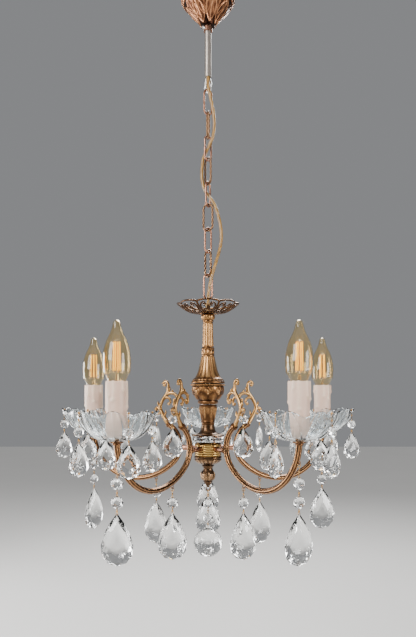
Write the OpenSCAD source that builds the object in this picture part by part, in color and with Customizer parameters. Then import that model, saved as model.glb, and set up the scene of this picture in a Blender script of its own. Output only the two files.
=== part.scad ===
// Five-arm glass drop chandelier on a chain, hung from a ceiling eye.
// Origin: point on the ceiling over the eye. +Z up, -Y towards the front. Millimetres.
// Heights are given as drops: distances below the ceiling.

/* [Arms] */
// Number of arms
arm_count = 5; // [3:1:6]
// Radius from the column's axis to each candle's axis
arm_reach = 188; // [170:1:200]
// Outside diameter of the arm tube
arm_d = 8.4; // [7.6:0.2:9]
// Inside diameter of the arm tube
arm_bore = 6; // [5:0.2:6.4]
// Drop to the centre line at the lowest point of an arm
arm_low = 735; // [725:1:745]

/* [Canopy] */
// Radius of the canopy's rim
canopy_r = 44; // [40:1:48]
// Thickness of the canopy's sheet
canopy_wall = 1.4; // [1:0.1:2]
// Outside diameter of the sleeve over the hanger
sleeve_d = 9.6; // [9.5:0.1:9.8]
// Drop to the sleeve's lower end
sleeve_end = 143; // [130:1:145]

/* [Chain] */
// Wire diameter of the smooth links
smooth_wire = 2.8; // [2.4:0.1:3]
// Outside length of a smooth link
smooth_l = 38.6; // [38:0.1:39]
// Wire diameter of the twisted links
twist_wire = 3.6; // [3.2:0.1:3.6]
// Outside length of a twisted link
twist_l = 42.4; // [42:0.1:43]
// Gap between the wires of two links
link_gap = 0.3; // [0.2:0.1:0.5]

/* [Flex] */
// Diameter of the supply flex
flex_d = 4.4; // [4:0.1:4.6]

/* [Candles] */
// Outside diameter of a candle sleeve
candle_d = 28; // [27:0.5:30]
// Drop to the top of a candle sleeve
candle_top = 593; // [588:1:600]
// Largest diameter of a bulb
bulb_d = 35; // [34:0.5:36]
// Drop to the tip of a bulb
bulb_tip = 519; // [515:1:530]

/* [Glass] */
// Radius of a glass pan's rim
pan_r = 50.5; // [48:0.5:52]
// Number of petals on a pan
pan_petals = 8; // [6:1:10]
// Width of an almond drop
almond_w = 28; // [24:0.5:30]
// Height of an almond drop
almond_h = 41; // [38:0.5:42]
// Width of a large drop
large_w = 40; // [36:0.5:42]
// Height of a large drop
large_h = 64; // [60:0.5:64]
// Diameter of the ball pendant
ball_d = 42; // [38:0.5:43]

/* [Hidden] */
$fn = 48;
arms = [for (i = [0 : arm_count - 1]) i];

gap = 0.35;          // running gap between pieces that move on each other
rod_d = 9.6;         // threaded tube that ties the column together
rod_bore = 6.6;
column_bore = 10.2;  // clearance hole in each piece that the rod goes through
first_arm = -54;     // direction of arm 1 from +X, degrees

// chain: drop to the first link's upper wire, and each link's turn about the vertical
hook_wire = 2.2;
hook_low = 164.6;
hook_turn = -55;
hook_r = 8.6;
chain_top = hook_low - hook_wire / 2 - smooth_wire / 2 - gap;
smooth_w = 14.8;
twist_w = 18;
link_turns = [25, -80, 40, -56, 60, -25, 42, -56, 0];
wires_meet = (smooth_wire + twist_wire) / 2 + link_gap;
smooth_pitch = smooth_l - smooth_wire - wires_meet;
twist_pitch = twist_l - twist_wire - wires_meet;
chain_bottom = chain_top + 5 * smooth_pitch + 4 * twist_pitch + wires_meet;

// arm centre line, in a plane through the column's axis
bend_r = 71;                       // outer quarter turn
bend_x = arm_reach - bend_r;       // where the arm is lowest
bend_z = -arm_low + bend_r;
inner_r = 35.4;                    // tight turn beside the hub
inner_z = -684;
lower_r = (inner_z + arm_low - inner_r * cos(45)) / (1 - cos(45));
inner_x = bend_x - (lower_r - inner_r) * sin(45);
crown_lean = 52;                   // how far the tube leans out where it ends
tube_end = 6;
nipple_z = -687;
nipple_d = 8;
hub_r = 19.8;
seat_z = -666.4;                   // top of the seat that carries a pan
drop_eye = 2.2;                    // radius of an eye's centre line
drop_ring = 2.4;                   // radius of a drop's top ring
eye_wire = 1.1;
ring_wire = 1;

// eyes that the drops hang from: [radius from the column's axis, height of the eye's centre]
outer_eye = [arm_reach - 0.5, -692];
mid_eye = [82, -734.2];
crown_eye = [81.5, -629];
center_eye_z = -746.5;
pan_hole_r = 46;
pan_turns = [9, 62, 18, 40, 45];   // turn of each pan and its four drops, degrees

// turn of each drop from facing the front, degrees; one row for each pan's four
outer_turns = [22, 0, 57, 10, 4];
mid_turns = [22, 4, -22, 0, 30];
crown_turns = [6, 0, 72, 0, 78];
pan_drop_turns = [[34, 0, -24, 42], [0, 35, 5, 45], [40, 10, 62, -30], [0, 30, -20, 50],
    [-36, 58, 8, 20]];

// supply flex: centre-line points from the sleeve's mouth to the top of the column;
// its first points stay with the hanger, and the rest swing with the chain
flex_route = [
    [0, -1.5, -143.4], [-0.1, -2.2, -148], [-0.2, -4.2, -153], [0.1, -6.4, -158],
    [0.8, -7.6, -163.6], [1, -7.8, -164.8], [2.4, -7.8, -171], [4.6, -6.8, -180],
    [6.8, -5.4, -190], [8.4, -4.4, -200], [9.2, -3.8, -211], [8.8, -3.6, -222],
    [7, -3.6, -232], [3.6, -2.4, -240], [0, 0, -247], [-3.8, 1.8, -254], [-7, 2.3, -262],
    [-8.2, 2, -272], [-9, 1.2, -283], [-8.4, 0.8, -294], [-6, 1, -304],
    [-2.6, 0.8, -312], [2.2, -0.4, -319], [7.2, -1.2, -326], [11.4, -1.4, -335],
    [15, -1.4, -346], [17.8, -1.4, -358], [19.4, -1.4, -370], [19.4, -1.8, -382],
    [17.6, -3, -394], [14.8, -5, -405], [11.6, -7.4, -416], [8.4, -9.6, -427],
    [5.4, -11, -438], [3, -11.4, -449], [1.4, -11.2, -459], [0.4, -10.4, -468],
    [0, -9, -476.4], [0, -7.8, -485]];
flex_split = 5;                    // points above this one are the hanger's
flex_sides = 8;

// ---------- helpers ----------

// points of a quadratic curve from a to c, pulled towards b
function bow(a, b, c, n = 6) =
    [for (i = [0 : n]) let (t = i / n) (1 - t) * (1 - t) * a + 2 * t * (1 - t) * b + t * t * c];

function unit(v) = v / norm(v);

// direction of arm i from +X
function arm_angle(i) = first_arm - i * 360 / arm_count;

module at_arm(i) rotate([0, 0, arm_angle(i)]) children();

// part of a ring in the XZ plane, from angle a0 to a1 measured from +X towards +Z
module arc_rod(x, z, r, a0, a1, d)
    translate([x, 0, z]) rotate([90, 0, 0])
        rotate_extrude(angle = a1 - a0, start = a0) translate([r, 0]) circle(d = d);

// round rod with slightly larger ball ends, as bent wire has at its bends
module rod_between(a, b, d) {
    run = norm(b - a);
    translate(a) rotate([0, acos((b - a)[2] / run), atan2((b - a)[1], (b - a)[0])])
        cylinder(d = d, h = run);
    for (p = [a, b]) translate(p) sphere(d = 1.1 * d);
}

// full ring in the XZ plane
module ring(r, wire) rotate([90, 0, 0]) rotate_extrude() translate([r, 0]) circle(d = wire);

// washer or tube between two heights
module tube(od, id, z0, z1) translate([0, 0, z0]) difference() {
    cylinder(d = od, h = z1 - z0);
    translate([0, 0, -1]) cylinder(d = id, h = z1 - z0 + 2);
}

// turned piece: outline of [radius, height] points closed along a bore
module turned(points, bore)
    rotate_extrude() polygon(concat(points,
        [[bore / 2, points[len(points) - 1][1]], [bore / 2, points[0][1]]]));

// chain link in the XZ plane, its upper wire's centre at the origin
module link(length, width, wire) {
    r = (width - wire) / 2;
    run = length - width;
    arc_rod(0, -r, r, 0, 180, wire);
    arc_rod(0, -r - run, r, 180, 360, wire);
    for (x = [-r, r]) translate([x, 0, -r - run]) cylinder(d = wire, h = run);
}

// drop to the upper wire of link i
function link_top(i) =
    chain_top + ceil(i / 2) * smooth_pitch + floor(i / 2) * twist_pitch;

module chain_link(i) translate([0, 0, -link_top(i)]) rotate([0, 0, link_turns[i]])
    if (i % 2 == 0) link(smooth_l, smooth_w, smooth_wire);
    else link(twist_l, twist_w, twist_wire);

// cut glass: a closed outline in the XZ plane, thick at the edge line, with a smaller table
// in front and behind
module cut_glass(outline, middle, thick, table = 0.55) {
    n = len(outline);
    function face(k, y) = [for (p = outline)
        let (q = middle + (p - middle) * k) [q[0], y, q[1]]];
    polyhedron(
        points = concat(face(table, -thick / 2), face(1, 0), face(table, thick / 2)),
        faces = concat(
            [[for (i = [0 : n - 1]) n - 1 - i]],
            [for (k = [0, 1], i = [0 : n - 1], half = [0, 1]) let (j = (i + 1) % n)
                half == 0 ? [k * n + i, k * n + j, (k + 1) * n + j]
                          : [k * n + i, (k + 1) * n + j, (k + 1) * n + i]],
            [[for (i = [0 : n - 1]) 2 * n + i]]));
}

// outline of a drop that hangs from the origin: pointed at the top, widest two thirds down
function pear_outline(w, h, n = 14) = [for (i = [0 : n - 1]) let (a = 360 * i / n)
    [-w / 2 * sin(a) * abs(sin(a / 2)) / 0.77, -h * (1 - cos(a)) / 2]];

module pear(w, h, thick) cut_glass(pear_outline(w, h), [0, -0.6 * h], thick);

module bead(d, thick = 8) translate([0, 0, -d / 2])
    cut_glass([for (i = [0 : 7]) let (a = 22.5 + 45 * i) d / 2 * [-sin(a), cos(a)]],
        [0, 0], thick);

// pin from height 0 down to -h
module pin(h, d = 1.1) translate([0, 0, -h]) cylinder(d = d, h = h);

// strand under an eye in the XZ plane: a ring, then beads with a pin through each and a drop
// at the end, which face along turn
module strand(eye_z, lead, beads, bead_d, spacing, w, h, thick, turn) {
    last = lead + (beads - 1) * spacing + bead_d;
    translate([0, 0, ring_z(eye_z)]) {
        rotate([0, 0, 90]) ring(drop_ring, ring_wire);
        translate([0, 0, -drop_ring]) pin(last + 8 - drop_ring);
        rotate([0, 0, turn]) {
            for (k = [0 : beads - 1]) translate([0, 0, -lead - k * spacing]) bead(bead_d);
            translate([0, 0, -last - 5]) pear(w, h, thick);
        }
    }
}

// height of a strand's ring that rests on an eye's lower wire
function ring_z(eye_z) = eye_z - drop_eye + eye_wire / 2 + ring_wire / 2 + gap - drop_ring;

// ---------- hanger and canopy ----------

hook_leg = [2.5, 1.4];              // place of a leg inside the sleeve, right and back

module hanger_hook() color("silver") {
    spread = hook_r * cos(5);
    level = -hook_low + hook_r * (1 - sin(5));
    translate([0, 0, -14]) ring(7, 2.6);
    translate([0, 0, -40]) cylinder(d = 4.6, h = 19.5);
    rotate([0, 0, hook_turn]) arc_rod(0, -hook_low + hook_r, hook_r, 185, 355, hook_wire);
    for (side = [-1, 1]) {
        rod_between([side * hook_leg[0], hook_leg[1], -143.8],
            [side * spread * cos(hook_turn), side * spread * sin(hook_turn), level], hook_wire);
        translate([side * hook_leg[0], hook_leg[1], -143.8]) cylinder(d = hook_wire, h = 106.8);
    }
}

module hanger_sleeve() color("gainsboro") tube(sleeve_d, sleeve_d - 1.4, -sleeve_end, -44);

// the flex inside the sleeve, bent over to the terminal block in front of the hanger
module supply_lead() color("darkkhaki") translate([0, flex_route[0][1], 0]) rotate([0, 0, -90]) {
    translate([0, 0, -sleeve_end]) cylinder(d = flex_d, h = sleeve_end - 48);
    arc_rod(10, -48, 10, 90, 180, flex_d);
}

module terminal_block() color("ivory") translate([0, flex_route[0][1], 0]) rotate([0, 0, -90])
    difference() {
        translate([10.3, -6, -44]) cube([12, 12, 12]);
        for (y = [-3, 3]) translate([9, y, -38]) rotate([0, 90, 0]) cylinder(d = 2.6, h = 20);
    }

canopy_line = concat([[canopy_r - 1, 0], [canopy_r, -1]],
    bow([canopy_r + 0.5, -4], [canopy_r - 1, -20], [canopy_r - 2.5, -31]),
    bow([canopy_r - 4, -34], [30, -44], [24, -51]),
    bow([20, -55], [13, -62], [10.5, -69.4]));

module canopy() color("peru") rotate_extrude() polygon(concat(canopy_line,
    [[6.4, -69.4], [6.4, -66]],
    [for (i = [len(canopy_line) - 1 : -1 : 1])
        [max(6.4, canopy_line[i][0] - canopy_wall), min(-1, canopy_line[i][1] + canopy_wall)]],
    [[canopy_r - 4, -1.2], [canopy_r - 4, 0]]));

module canopy_grip() color("peru") {
    hole = sleeve_d + 2 * gap;
    difference() {
        union() {
            tube(12.6, hole, -76.4, -69.6);
            tube(12.2, hole, -70, -63);
        }
        grip_screw_place() translate([0, 0, -1]) cylinder(d = 3.3, h = 12);
    }
}

module grip_screw_place() translate([0, 0, -73.2]) rotate([0, 0, 215]) rotate([0, 90, 0])
    children();

module grip_screw() color("silver") grip_screw_place() difference() {
    translate([0, 0, sleeve_d / 2 + 0.3]) union() {
        cylinder(d = 2.6, h = 3);
        translate([0, 0, 2.5]) cylinder(d = 4.6, h = 3.2);
    }
    translate([-3, -0.4, sleeve_d / 2 + 5]) cube([6, 0.8, 2]);
}

// ---------- chain and flex ----------

module smooth_links() color("rosybrown") for (i = [0 : 2 : 8]) chain_link(i);

module twisted_links() color("darkgoldenrod") for (i = [1 : 2 : 7]) chain_link(i);

function flex_dir(i) = let (n = len(flex_route)) i == 0 ? [0, 0, -1]
    : unit(flex_route[min(i + 1, n - 1)] - flex_route[i - 1]);

function flex_rim(i) = let (t = flex_dir(i), u = unit(cross(t, [0, 1, 0])), v = cross(t, u))
    [for (k = [0 : flex_sides - 1]) let (a = 360 * k / flex_sides)
        flex_route[i] + flex_d / 2 * (cos(a) * u + sin(a) * v)];

// flex between two points of its route
module flex_run(first, last) {
    n = last - first + 1;
    polyhedron(
        points = [for (i = [first : last]) each flex_rim(i)],
        faces = concat(
            [[for (k = [0 : flex_sides - 1]) k]],
            [for (i = [0 : n - 2], k = [0 : flex_sides - 1], half = [0, 1])
                let (j = (k + 1) % flex_sides, p = i * flex_sides, q = p + flex_sides)
                half == 0 ? [p + k, q + k, q + j] : [p + k, q + j, p + j]],
            [[for (k = [flex_sides - 1 : -1 : 0]) (n - 1) * flex_sides + k]]));
}

module flex_top() color("darkkhaki") flex_run(0, flex_split - 1);

module supply_flex() color("darkkhaki") flex_run(flex_split, len(flex_route) - 1);

// ---------- column ----------

loop_top = -chain_bottom + smooth_wire / 2 + 1.5 + link_gap;

module top_loop() color("goldenrod") {
    translate([0, 0, loop_top - 5.5]) rotate([0, 0, 90]) ring(5.5, 3);
    translate([0, 0, -489]) cylinder(d = 7, h = 489 + loop_top - 10.5);
    translate([0, 0, -489.6]) cylinder(d = 8.8, h = 3);
}

module top_dish() color("darkgoldenrod") difference() {
    rotate_extrude() polygon(concat(
        [[4.8, -490]], bow([12, -490], [28, -489.6], [37, -484]), [[46, -475]],
        [[44.6, -474.2]], bow([35.8, -482.6], [27, -487.4], [12, -487.8]), [[4.8, -487.8]]));
    for (i = [0 : 7]) rotate([0, 0, 45 * i]) {
        translate([21, 0, -500]) cylinder(d = 8, h = 40);
        translate([32, 0, -500]) cylinder(d = 10, h = 40);
    }
    translate([0, -8, -492]) cylinder(d = flex_d + 4, h = 10);
}

module column_shaft() color("darkgoldenrod") turned(concat(
    [[6, -490.3]], bow([8.6, -491], [11.6, -494.6], [8.6, -498.6]), [[7.4, -500], [7.4, -502]],
    bow([7.2, -504], [7.4, -524], [8.6, -539]), [[9.8, -541], [9.8, -551]],
    bow([10, -553], [12.4, -573], [19, -583.4]), [[22.6, -587.6], [24.8, -592]]), column_bore);

module column_cup() color("darkgoldenrod") turned(concat(
    [[25.2, -592.2], [25.2, -594]], bow([24.2, -596], [24.6, -609], [18, -616.4]),
    [[14, -621.6], [13, -623]]), column_bore);

module column_stem() color("darkgoldenrod") turned(concat(
    [[13, -623.2]], bow([13.2, -626], [11.4, -636], [10.2, -648.6]),
    [[9.7, -649.6], [9.7, -652.8]]), column_bore);

module stem_foot() color("darkgoldenrod") turned(concat(
    [[9.6, -653]], bow([9.8, -655], [10.4, -664], [15.6, -666]),
    [[24.6, -667], [24.6, -668.6]]), column_bore);

module glass_disc() color("lightgray") turned(
    [[21, -668.8], [23, -670.4], [23, -674.6], [20.5, -677.6]], column_bore + 0.4);

module hub_ring() color("gold") difference() {
    union() {
        tube(2 * hub_r, 2 * hub_r - 4.4, -698.4, -680);
        tube(2 * hub_r - 3, column_bore, -680.4, -677.8);
    }
    for (i = arms) at_arm(i) translate([0, 0, nipple_z]) rotate([0, 90, 0])
        cylinder(d = nipple_d + 0.4, h = 30);
}

module hub_cap() color("saddlebrown") difference() {
    rotate_extrude() polygon(concat(
        [[20.4, -698.6], [20.4, -702]], bow([20.6, -704], [19, -708], [9.6, -711.4]),
        [[5.1, -711.4], [5.1, -709]], bow([8.6, -709.4], [17, -706.4], [18.4, -703]),
        [[18.2, -698.6]]));
}

module finial() color("saddlebrown") {
    turned(concat([[8.8, -711.6], [8.8, -714]], bow([7, -716.4], [7.2, -719], [8.6, -721]),
        bow([10.6, -724], [11.2, -730], [8, -734]), [[6.4, -735.6]]), 0);
    rotate_extrude() polygon(concat([[0, -735]], bow([6.4, -735], [4.2, -740], [2, -743.6]),
        [[0, -743.6]]));
    translate([0, 0, center_eye_z]) ring(drop_eye + 0.8, 1.6);
}

module tie_rod() color("silver") tube(rod_d, rod_bore, -711.3, -490);

// ---------- arms ----------

// the arm's centre line as a round rod of diameter d, from the candle to angle last of the
// turn beside the hub; its lengths stop short of each other inside slightly larger balls
module arm_line(d, last, swell = 1.12) {
    gap = 0.6;
    turn = gap * 180 / PI;
    rise = arm_low - lower_r * (1 - cos(45));
    translate([arm_reach, 0, bend_z + gap]) cylinder(d = d, h = -652 - bend_z - gap);
    arc_rod(bend_x, bend_z, bend_r, -90 + turn / bend_r, -turn / bend_r, d);
    arc_rod(bend_x, -arm_low + lower_r, lower_r, -135 + turn / lower_r, -90 - turn / lower_r, d);
    arc_rod(inner_x, inner_z, inner_r, last + turn / inner_r, 225 - turn / inner_r, d);
    for (p = [[arm_reach, bend_z], [bend_x, -arm_low], [bend_x - lower_r * sin(45), -rise]])
        translate([p[0], 0, p[1]]) sphere(d = d * swell);
}

module eye_on_arm(eye) translate([eye[0], 0, eye[1]]) ring(drop_eye, eye_wire);

// straight end of the tube, under the crown scroll
module crown_end(d, length, swell = 1.12)
    translate([inner_x - inner_r * cos(crown_lean), 0, inner_z + inner_r * sin(crown_lean)]) {
        sphere(d = d * swell);
        rotate([0, crown_lean, 0]) translate([0, 0, 0.6]) cylinder(d = d, h = length - 0.6);
    }

module arm(i) color("peru") at_arm(i) {
    difference() {
        union() {
            arm_line(arm_d, 180 - crown_lean);
            crown_end(arm_d, tube_end);
            translate([39.6, 0, nipple_z]) rotate([0, 90, 0]) cylinder(d = 11, h = 3);
            translate([arm_reach, 0, -671]) cylinder(d = 11, h = 3);
            translate([arm_reach, 0, -668.2]) cylinder(d = 18, h = 668.2 + seat_z);
        }
        arm_line(arm_bore, 180 - crown_lean, 1.2);
        crown_end(arm_bore, tube_end + 1, 1.2);
        translate([arm_reach, 0, -655]) cylinder(d = arm_bore, h = 6);
    }
    eye_on_arm(outer_eye);
    eye_on_arm(mid_eye);
}

module arm_nipples() color("goldenrod") for (i = arms) at_arm(i)
    translate([0, 0, nipple_z]) rotate([0, 90, 0]) {
        difference() {
            cylinder(d = nipple_d, h = 39.4);
            translate([0, 0, -1]) cylinder(d = 5, h = 41);
            translate([0, 0, -1]) cylinder(d = 20, h = 13.2);
        }
        translate([0, 0, 12.4]) difference() {
            cylinder(d = 11, h = 2.6, $fn = 6);
            translate([0, 0, -1]) cylinder(d = nipple_d - 0.2, h = 5);
        }
    }

module arm_leads() color("ivory") for (i = arms) at_arm(i) arm_line(3.2, 182);

// flat scroll along a centre line of [x, z, width] points
module scroll(line, thick) {
    n = len(line);
    function dir(i) = let (a = line[max(i - 1, 0)], b = line[min(i + 1, n - 1)])
        unit([b[0] - a[0], b[1] - a[1]]);
    function side(i, s) = let (t = dir(i))
        [line[i][0] - s * t[1] * line[i][2] / 2, line[i][1] + s * t[0] * line[i][2] / 2];
    translate([0, thick / 2, 0]) rotate([90, 0, 0]) linear_extrude(thick)
        polygon(concat([for (i = [0 : n - 1]) side(i, 1)],
            [for (i = [n - 1 : -1 : 0]) side(i, -1)]));
}

// heights of the scroll's points are measured from the horizon of the crown
crown_z = -615;
stem_line = [[63.3, -36.6, 5.8], [68.8, -28, 5.8], [72.5, -21, 5.4], [75.4, -15, 5],
    [75.2, -10, 5], [73.6, -5.6, 5], [71.2, -1, 5.2], [68.6, 3, 5.4], [65, 7.4, 5],
    [63, 12, 4.8], [62.6, 17, 4.6], [62.8, 22, 4.4], [65, 25.6, 4.2], [68.6, 25.8, 4],
    [70.6, 22.8, 3.4]];
curl_line = [[66, 6, 4.2], [61, 8.6, 4.8], [56, 9, 4.8], [51.4, 7, 4.6], [48.6, 2.4, 4.4],
    [48, -2.4, 4.2], [49.8, -6, 3.4]];
leaf_line = [[70, 0, 3.6], [64, 1.4, 4], [59.6, -1.4, 3.8], [59.2, -6, 3]];
tip_line = [[74, -18, 4], [78, -13.6, 3.6], [81.5, -11.4, 3]];

module arm_scrolls() color("goldenrod") for (i = arms) at_arm(i) {
    translate([0, 0, crown_z]) {
        scroll(stem_line, 4.4);
        scroll(curl_line, 3.8);
        scroll(leaf_line, 3.4);
        scroll(tip_line, 3);
    }
    translate([crown_eye[0], 0, crown_eye[1]]) ring(drop_eye, eye_wire);
}

// ---------- candles ----------

module at_candle(i) at_arm(i) translate([arm_reach, 0, 0]) children();

module lampholders() color("ivory") for (i = arms) at_candle(i) difference() {
    translate([0, 0, -663]) cylinder(d = 21, h = 50.4);
    translate([0, 0, -664]) cylinder(d = arm_d + 1, h = 20);
    translate([0, 0, -639]) cylinder(d = 14.6, h = 30);
}

module candle_sleeves() color("antiquewhite") for (i = arms) at_candle(i)
    tube(candle_d, candle_d - 3, -662.8, -candle_top);

module bulb(i) color("lightyellow") at_candle(i) {
    translate([0, 0, -636]) cylinder(d = 13.8, h = 24.2);
    rotate_extrude() polygon(concat([[0, -612]], bow([8, -612], [10.4, -604], [10.6, -597]),
        bow([11, -593], [bulb_d / 2, -586], [bulb_d / 2, -572]),
        bow([bulb_d / 2, -568], [bulb_d / 2 - 0.7, -550], [8.6, -536.4]),
        bow([6.6, -531.6], [4.7, -527.4], [4.2, -bulb_tip - 4]),
        bow([3.8, -bulb_tip - 1.8], [2.6, -bulb_tip - 0.5], [1.2, -bulb_tip - 0.1]), [[0, -bulb_tip]]));
}

// ---------- glass ----------

// pan: a dish of revolution whose rim rises and swells at each petal
pan_line = [[6.5, 0], [16, 0.4], [27, 4.4], [36, 12], [43, 21.4], [47.6, 29.4], [50.5, 36]];
pan_thick = 2.6;
pan_steps = 4 * pan_petals;
pan_z = -666;
pin_head_z = -631.4;

function pan_point(k, j, inner) = let (
    a = 360 * k / pan_steps, w = pow(j / (len(pan_line) - 1), 4),
    r = pan_line[j][0] * pan_r / 50.5 + w * (cos(pan_petals * a) - 1) * 1.6,
    z = pan_line[j][1] + w * (cos(pan_petals * a) - 1) * 2.4)
    [(r - (j > 1 ? inner * 1.4 : 0)) * cos(a), (r - (j > 1 ? inner * 1.4 : 0)) * sin(a),
     z + inner * pan_thick * (j > 3 ? 0.6 : 1)];

module pan_body() {
    m = len(pan_line);
    // around the outer face from hole to rim, then back along the inner face
    loop = concat([for (j = [0 : m - 1]) [j, 0]], [for (j = [m - 1 : -1 : 0]) [j, 1]]);
    n = len(loop);
    polyhedron(
        points = [for (k = [0 : pan_steps - 1], p = loop) pan_point(k, p[0], p[1])],
        faces = [for (k = [0 : pan_steps - 1], q = [0 : n - 1], half = [0, 1])
            let (k2 = (k + 1) % pan_steps, q2 = (q + 1) % n)
            half == 0 ? [k * n + q, k * n + q2, k2 * n + q2]
                      : [k * n + q, k2 * n + q2, k2 * n + q]]);
}

module at_pan_holes(i) at_candle(i) rotate([0, 0, pan_turns[i % 5]])
    for ($q = [0 : 3]) rotate([0, 0, 90 * $q]) translate([pan_hole_r, 0, 0]) children();

module glass_pan(i) color("lightcyan") difference() {
    at_candle(i) rotate([0, 0, pan_turns[i % 5]]) translate([0, 0, pan_z]) pan_body();
    at_pan_holes(i) translate([0, 0, -650]) cylinder(d = 2.6, h = 30);
}

// four drops under each pan, each on a headed pin through the rim
module pan_drops() color("azure") for (i = arms) at_pan_holes(i)
    rotate([0, 0, pan_drop_turns[i % 5][$q] - 90 * $q - pan_turns[i % 5] - arm_angle(i)]) {
        translate([0, 0, pin_head_z]) sphere(d = 3.2, $fn = 24);
        translate([0, 0, pin_head_z]) pin(36);
        translate([0, 0, -647]) bead(14);
        translate([0, 0, -666]) pear(almond_w, almond_h, 10);
    }

module outer_drop(i) color("azure") at_arm(i) translate([outer_eye[0], 0, 0])
    strand(outer_eye[1], 14.6, 2, 16, 22.6, large_w, large_h, 13,
        outer_turns[i % 5] - arm_angle(i));

module mid_drop(i) color("azure") at_arm(i) translate([mid_eye[0], 0, 0])
    strand(mid_eye[1], 10.4, 1, 16, 0, large_w, large_h, 13, mid_turns[i % 5] - arm_angle(i));

module crown_drop(i) color("azure") at_arm(i) translate([crown_eye[0], 0, 0])
    strand(crown_eye[1], 3.6, 1, 13.5, 0, almond_w, almond_h, 10,
        crown_turns[i % 5] - arm_angle(i));

module center_drop() color("azure") translate([0, 0, center_eye_z - 0.55 + ring_z(0)]) {
    rotate([0, 0, 90]) ring(drop_ring, ring_wire);
    translate([0, 0, -drop_ring]) pin(50);
    for (z = [-10.4, -31.4]) translate([0, 0, z]) bead(15);
    translate([0, 0, -75]) sphere(d = ball_d);
    translate([0, 0, -55.4]) cylinder(d = 8, h = 4);
}

// ---------- the assembly ----------

hanger_hook();
hanger_sleeve();
terminal_block();
supply_lead();
flex_top();
canopy();
canopy_grip();
grip_screw();
smooth_links();
twisted_links();
supply_flex();
top_loop();
top_dish();
column_shaft();
column_cup();
column_stem();
stem_foot();
glass_disc();
hub_ring();
hub_cap();
finial();
tie_rod();
arm_nipples();
arm_leads();
arm_scrolls();
lampholders();
candle_sleeves();
pan_drops();
center_drop();
for (i = arms) {
    arm(i);
    glass_pan(i);
    bulb(i);
    outer_drop(i);
    mid_drop(i);
    crown_drop(i);
}
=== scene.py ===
import bmesh
import bpy
import numpy as np
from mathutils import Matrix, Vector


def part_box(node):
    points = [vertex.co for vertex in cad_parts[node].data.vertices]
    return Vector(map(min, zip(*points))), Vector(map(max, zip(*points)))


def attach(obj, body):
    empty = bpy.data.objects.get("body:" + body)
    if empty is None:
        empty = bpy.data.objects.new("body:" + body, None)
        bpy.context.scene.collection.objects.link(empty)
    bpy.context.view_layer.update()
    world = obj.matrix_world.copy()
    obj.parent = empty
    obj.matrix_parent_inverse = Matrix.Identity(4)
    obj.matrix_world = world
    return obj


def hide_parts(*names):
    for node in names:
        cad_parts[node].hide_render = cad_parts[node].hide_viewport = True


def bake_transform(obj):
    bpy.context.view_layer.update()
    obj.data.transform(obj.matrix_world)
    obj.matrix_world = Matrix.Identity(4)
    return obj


# Five-arm glass drop chandelier on a chain.
# Sizes and heights are in millimetres, measured from the ceiling eye, and meshes are written in metres.
mm = 0.001
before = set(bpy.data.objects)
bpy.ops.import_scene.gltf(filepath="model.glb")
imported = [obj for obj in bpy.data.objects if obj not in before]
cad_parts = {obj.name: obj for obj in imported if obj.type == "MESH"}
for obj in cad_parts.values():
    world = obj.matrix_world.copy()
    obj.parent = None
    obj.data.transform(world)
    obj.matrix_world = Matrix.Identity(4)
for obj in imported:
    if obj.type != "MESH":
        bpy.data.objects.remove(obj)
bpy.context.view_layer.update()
armCount = 5
armAngles = [np.radians(-54 - 72 * i) for i in range(armCount)]
print("frame loaded,", len(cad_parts), "CAD nodes")

# camera
view = {"place": (0, -867, -615), "lens": 33.4, "shiftUp": 0.1264}
cameraData = bpy.data.cameras.new("camera")
cameraData.lens = view["lens"]
cameraData.shift_y = view["shiftUp"]
cameraData.clip_start = 0.02
camera = bpy.data.objects.new("camera", cameraData)
camera.location = [v * mm for v in view["place"]]
camera.rotation_euler = (np.pi / 2, 0, 0)
bpy.context.scene.collection.objects.link(camera)
bpy.context.scene.camera = camera


def unit(v):
    return v / np.linalg.norm(v, axis=-1, keepdims=True)


def limit(v):
    return np.clip(v, 0, 1)


def aroundAxis(radius, angle, height):
    return np.stack(np.broadcast_arrays(radius * np.cos(angle), radius * np.sin(angle), height), -1)


def hump(away, width):
    return np.exp(-(away / width) ** 2)


def upright(x, z):
    return np.stack([x, 0 * x, z], -1)


def bow(a, b, c, steps=10):
    # curve from a to c that leans towards b: (1-t)^2 a + 2t(1-t) b + t^2 c
    t = np.linspace(0, 1, steps + 1)[:, None]
    a, b, c = (np.array(point, float) for point in (a, b, c))
    return (1 - t) ** 2 * a + 2 * t * (1 - t) * b + t ** 2 * c


def smoothLine(points, steps=8, loop=False):
    # Catmull-Rom curve through the points, as many steps between each two
    p = np.array(points, float)
    if loop:
        p = np.concatenate([p[-1:], p, p[:2]])
    else:
        p = np.concatenate([2 * p[:1] - p[1:2], p, 2 * p[-1:] - p[-2:-1]])
    a, b, c, d = (p[k:len(p) - 3 + k, None] for k in range(4))
    t = (np.arange(steps) / steps)[None, :, None]
    line = 0.5 * (2 * b + (c - a) * t + (2 * a - 5 * b + 4 * c - d) * t ** 2 + (3 * b - a - 3 * c + d)
        * t ** 3)
    line = line.reshape(-1, p.shape[1])
    return line if loop else np.concatenate([line, p[-2:-1]])


def evenLine(points, count):
    # the same line with count points at even distances
    p = np.array(points, float)
    walked = np.concatenate([[0], np.cumsum(np.linalg.norm(np.diff(p, axis=0), axis=1))])
    at = np.linspace(0, walked[-1], count)
    return np.stack([np.interp(at, walked, p[:, k]) for k in range(p.shape[1])], 1)


def outline(*runs, step=0.7):
    # joins runs of [radius, height] points and splits each straight stretch into steps, keeping its corners
    p = np.concatenate([np.array(run, float).reshape(-1, 2) for run in runs])
    p = p[np.concatenate([[True], np.linalg.norm(np.diff(p, axis=0), axis=1) > 1e-6])]
    counts = np.maximum(1, np.ceil(np.linalg.norm(np.diff(p, axis=0), axis=1) / step)).astype(int)
    return np.concatenate([np.linspace(a, b, n, endpoint=False) for a, b, n in zip(p, p[1:], counts)]
        + [p[-1:]])


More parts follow.
